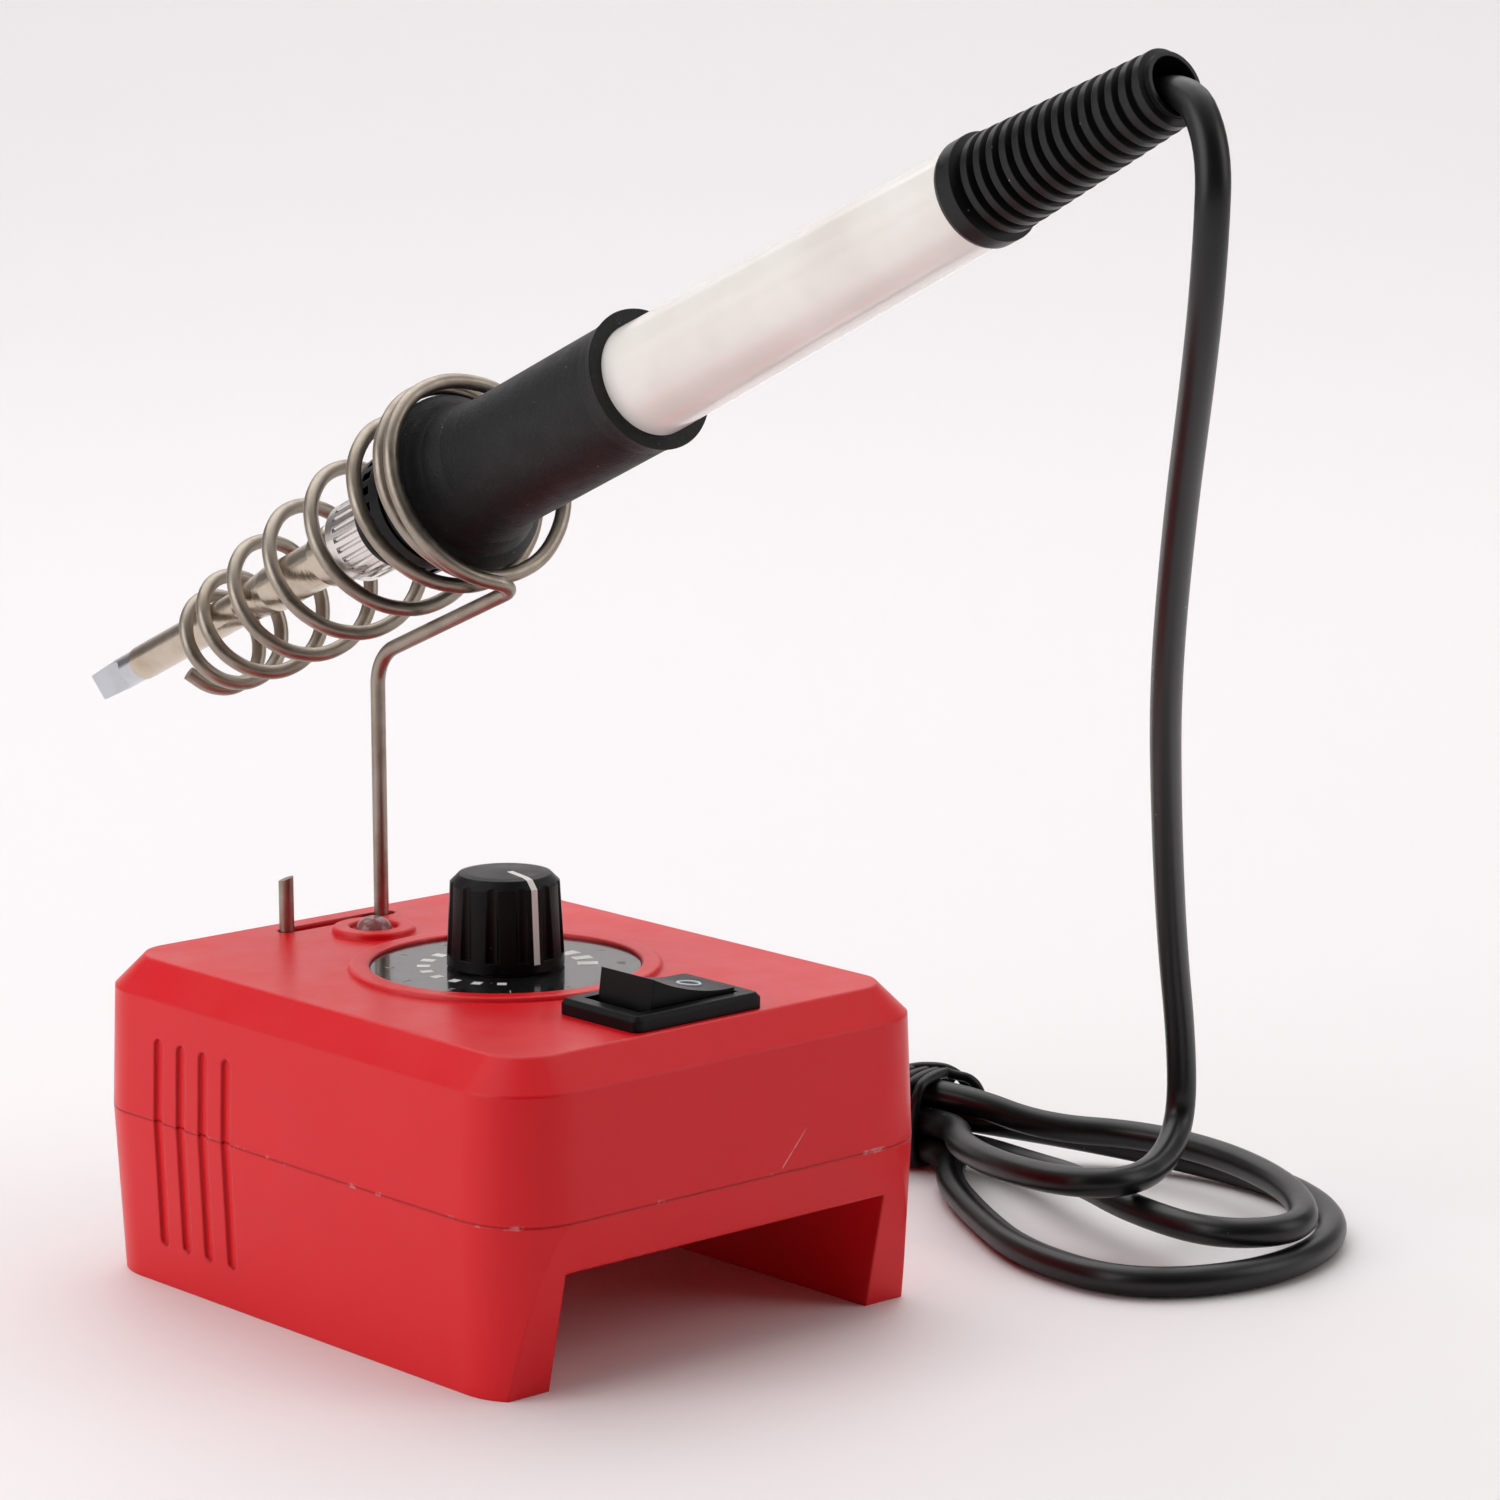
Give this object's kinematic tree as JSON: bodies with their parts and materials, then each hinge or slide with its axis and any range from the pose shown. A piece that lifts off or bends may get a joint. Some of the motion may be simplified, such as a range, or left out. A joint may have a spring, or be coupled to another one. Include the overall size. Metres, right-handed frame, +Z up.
{
  "type": "soldering iron station",
  "caption": "Soldering iron resting in a coiled wire stand above a small red plastic base with a power dial and rocker switch, its cord tied in a hank.",
  "frame": {"origin": "centre of the base on the surface it stands on", "axes": "+Z up, +Y towards the rear wall with the cord glands, -Y the wall by the switch, +X to the right when facing the switch"},
  "size_m": [0.1411, 0.2216, 0.1627],
  "materials": {
    "shell_red": "satin moulded",
    "dial_black": "gloss",
    "black_plastic": "fine grain",
    "pointer_white": "painted inlay",
    "sleeve_white": "gloss",
    "black_rubber": "matt",
    "grip_black": "fine matt grain",
    "wire_nickel": "drawn wire",
    "tip_plate": "plated",
    "barrel_steel": "heat tinted",
    "nut_chrome": "knurled",
    "hardware_steel": "zinc plated",
    "shaft_alu": "turned",
    "board_green": "solder mask",
    "part_grey": "moulded",
    "lamp_clear": "clear diffused",
    "cord_black": "smooth satin",
    "tie_black": "flat strip"
  },
  "bodies": {
    "base": {"top_shell": "shell_red", "bottom_shell": "shell_red", "dial_plate": "dial_black", "pot_body": "part_grey", "pot_bush": "hardware_steel", "pot_nut": "hardware_steel", "pot_washer": "hardware_steel", "pot_lugs": "hardware_steel", "circuit_board": "board_green", "film_capacitor": "part_grey", "power_resistor": "part_grey", "triac": "black_plastic", "heatsink": "shaft_alu", "fuse": "lamp_clear", "terminal_block": "part_grey", "led_body": "lamp_clear", "led_lead_a": "hardware_steel", "led_lead_b": "hardware_steel", "switch_housing": "black_plastic", "switch_tab_a": "hardware_steel", "switch_tab_b": "hardware_steel", "stand_wire": "wire_nickel", "stand_clamp": "hardware_steel", "clamp_screw": "hardware_steel", "iron_gland": "black_rubber", "mains_gland": "black_rubber", "iron_cord": "cord_black", "cord_tie": "tie_black", "case_screw_1": "hardware_steel", "case_screw_2": "hardware_steel", "case_screw_3": "hardware_steel", "case_screw_4": "hardware_steel", "board_screw_1": "hardware_steel", "board_screw_2": "hardware_steel"},
    "knob": {"knob": "black_plastic", "knob_pointer": "pointer_white", "pot_shaft": "shaft_alu"},
    "rocker": {"rocker": "black_plastic"},
    "iron": {"tip": "tip_plate", "barrel": "barrel_steel", "heater": "part_grey", "barrel_nut": "nut_chrome", "vent_collar": "black_plastic", "grip": "grip_black", "sleeve": "sleeve_white", "strain_relief": "black_rubber"}
  },
  "joints": [
    {"name": "knob_turn", "type": "hinge", "parent": "base", "child": "knob", "pos_m": [0, 0, 0.042], "axis": [0, 0, -1], "range_deg": [0, 299]},
    {"name": "rocker_tilt", "type": "hinge", "parent": "base", "child": "rocker", "pos_m": [-0.001, -0.0318, 0.0405], "axis": [0, -1, 0], "range_deg": [0, 24]},
    {"name": "iron_pull", "type": "slide", "parent": "base", "child": "iron", "axis": [0, -0.9131, 0.4077], "range_m": [0, 0.135], "deforming": ["iron_cord"]}
  ]
}
